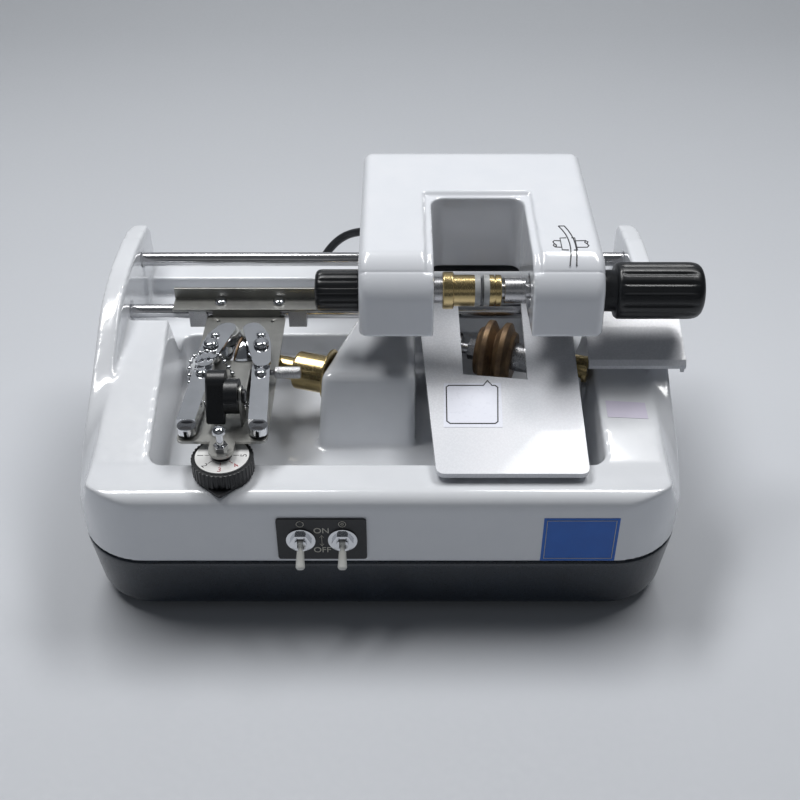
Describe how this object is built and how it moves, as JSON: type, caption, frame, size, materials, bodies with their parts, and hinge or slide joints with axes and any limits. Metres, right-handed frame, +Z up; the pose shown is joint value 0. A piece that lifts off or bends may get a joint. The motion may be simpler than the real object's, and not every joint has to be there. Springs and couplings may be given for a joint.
{
  "type": "lens groover",
  "caption": "Tabletop machine that cuts a groove round a spectacle lens, with sliding lens head, guide arms and two abrasive wheels.",
  "frame": {"origin": "on the table, under the middle of the box round the whole machine", "axes": "+X to the right along the rods, +Y to the back, +Z up"},
  "size_m": [0.3134, 0.2612, 0.1633],
  "materials": {
    "base_navy": "glossy dark navy grey",
    "casing_white": "smooth white enamel",
    "head_white": "glossy white",
    "cover_white": "satin white",
    "steel": "brushed",
    "plate_steel": "brushed along the plate",
    "chrome": "polished",
    "brass": "machined",
    "black_plastic": "semi-gloss black",
    "black_satin": "satin black",
    "rubber_black": "matt black",
    "lens_rubber": "soft matt black",
    "nylon_white": "matt white nylon",
    "diamond": "fine grit bonded to a metal core",
    "motor_can": "satin grey",
    "board_green": "coated circuit board",
    "cable_black": "smooth dark cable jacket",
    "dial_white": "printed white face"
  },
  "bodies": {
    "housing": {"base_tray": "base_navy", "upper_casing": "casing_white", "rubber_feet": "rubber_black", "casing_screws": "chrome", "slide_rods": "chrome", "switch_plate": "black_satin", "toggle_bodies": "chrome", "wheel_motor": "motor_can", "drive_belts": "rubber_black", "groove_housing": "brass", "spindle_bearings": "steel", "chamfer_bush": "brass", "cover_plate": "cover_white", "cover_pads": "rubber_black", "side_guard": "cover_white", "dial_pointer": "black_satin", "power_inlet": "black_plastic", "power_supply": "board_green", "cable_gland": "black_plastic"},
    "carriage": {"slide_sleeve": "black_satin", "head_cable": "cable_black"},
    "head": {"head_shell": "head_white", "head_frame": "motor_can", "stop_pad": "nylon_white", "lens_motor": "motor_can", "head_belts": "rubber_black"},
    "left_lens": {"left_lens_shaft": "steel", "left_clamp": "brass", "left_lens_pad": "lens_rubber", "left_knob": "black_plastic"},
    "right_drive": {"right_drive_sleeve": "steel"},
    "right_lens": {"right_lens_shaft": "steel", "right_lens_flange": "steel", "right_clamp": "brass", "right_lens_pad": "lens_rubber", "right_knob": "black_plastic"},
    "head_layshaft": {"layshaft": "steel"},
    "guide": {"guide_plate": "plate_steel", "hinge_bracket": "plate_steel", "hinge_blocks": "steel", "plate_screws": "chrome", "rest_screw": "chrome", "ball_chain": "chrome", "dome_cap": "chrome", "arm_spring": "chrome"},
    "arm_l": {"left_arm": "steel"},
    "disc_l": {"left_guide_disc": "nylon_white"},
    "arm_r": {"right_arm": "steel"},
    "disc_r": {"right_guide_disc": "nylon_white"},
    "selector": {"selector_knob": "black_plastic"},
    "thumb": {"thumb_screw": "steel"},
    "groove_drive": {"groove_spindle": "steel", "groove_wheel": "diamond"},
    "chamfer_drive": {"chamfer_spindle": "steel", "chamfer_wheel": "diamond"},
    "motor_drive": {"motor_pulley": "steel"},
    "dial": {"depth_dial": "black_plastic", "dial_face": "dial_white"},
    "toggle_power": {"power_toggle": "nylon_white"},
    "toggle_wheel": {"wheel_toggle": "nylon_white"}
  },
  "joints": [
    {"name": "head_slide", "type": "slide", "parent": "housing", "child": "carriage", "axis": [1, 0, 0], "range_m": [-0.124, 0.012], "deforming": ["head_cable"]},
    {"name": "head_tilt", "type": "hinge", "parent": "carriage", "child": "head", "pos_m": [0.04475, 0.08035, 0.105], "axis": [-1, 0, 0], "range_deg": [0, 45]},
    {"name": "left_spin", "type": "hinge", "parent": "head", "child": "left_lens", "pos_m": [0.00475, -0.00265, 0.135], "axis": [1, 0, 0], "continuous": true},
    {"name": "right_spin", "type": "hinge", "parent": "head", "child": "right_drive", "pos_m": [0.08875, -0.00265, 0.135], "axis": [1, 0, 0], "continuous": true},
    {"name": "clamp_slide", "type": "slide", "parent": "right_drive", "child": "right_lens", "axis": [1, 0, 0], "range_m": [0, 0.008]},
    {"name": "layshaft_spin", "type": "hinge", "parent": "head", "child": "head_layshaft", "pos_m": [0.04475, 0.06835, 0.138], "axis": [1, 0, 0], "continuous": true},
    {"name": "dial_turn", "type": "hinge", "parent": "housing", "child": "dial", "pos_m": [-0.07925, -0.08065, 0.088], "axis": [0, 0, 1], "range_deg": [-90, 90]},
    {"name": "plate_lift", "type": "hinge", "parent": "housing", "child": "guide", "pos_m": [-0.07975, 0.04035, 0.095], "axis": [-1, 0, 0], "range_deg": [0, 60]},
    {"name": "left_arm_swing", "type": "hinge", "parent": "guide", "child": "arm_l", "pos_m": [-0.09265, -0.00965, 0.101], "axis": [0, 0, 1], "range_deg": [0, 2.8], "deforming": ["arm_spring"]},
    {"name": "right_arm_swing", "type": "hinge", "parent": "guide", "child": "arm_r", "pos_m": [-0.06665, -0.00965, 0.101], "axis": [0, 0, -1], "range_deg": [0, 2.8], "deforming": ["arm_spring"]},
    {"name": "left_disc_spin", "type": "hinge", "parent": "arm_l", "child": "disc_l", "pos_m": [-0.08655, 0.00635, 0.1038], "axis": [0, 0, 1], "continuous": true},
    {"name": "right_disc_spin", "type": "hinge", "parent": "arm_r", "child": "disc_r", "pos_m": [-0.07275, 0.00635, 0.1038], "axis": [0, 0, 1], "continuous": true},
    {"name": "selector_turn", "type": "hinge", "parent": "guide", "child": "selector", "pos_m": [-0.07525, -0.05865, 0.1105], "axis": [1, 0, 0], "range_deg": [-45, 45]},
    {"name": "thumb_turn", "type": "hinge", "parent": "arm_r", "child": "thumb", "pos_m": [-0.06025, -0.02765, 0.102], "axis": [1, 0, 0], "continuous": true},
    {"name": "motor_spin", "type": "hinge", "parent": "housing", "child": "motor_drive", "pos_m": [0.02467, -0.00476, 0.033], "axis": [0.9537, -0.3007, 0], "continuous": true},
    {"name": "groove_spin", "type": "hinge", "parent": "housing", "child": "groove_drive", "pos_m": [-0.03945, -0.00858, 0.088], "axis": [0.9537, -0.3007, 0], "continuous": true},
    {"name": "chamfer_spin", "type": "hinge", "parent": "housing", "child": "chamfer_drive", "pos_m": [0.05636, 0.00928, 0.088], "axis": [0.9537, -0.3007, 0], "continuous": true},
    {"name": "power_switch", "type": "hinge", "parent": "housing", "child": "toggle_power", "pos_m": [-0.04255, -0.10265, 0.0565], "axis": [1, 0, 0], "range_deg": [-36, 0]},
    {"name": "wheel_switch", "type": "hinge", "parent": "housing", "child": "toggle_wheel", "pos_m": [-0.02255, -0.10265, 0.0565], "axis": [1, 0, 0], "range_deg": [-36, 0]}
  ],
  "couplings": [
    {"joint": "right_spin", "follows": "left_spin", "ratio": 1},
    {"joint": "layshaft_spin", "follows": "left_spin", "ratio": 1},
    {"joint": "groove_spin", "follows": "motor_spin", "ratio": 1.6923},
    {"joint": "chamfer_spin", "follows": "motor_spin", "ratio": 1.6923}
  ]
}
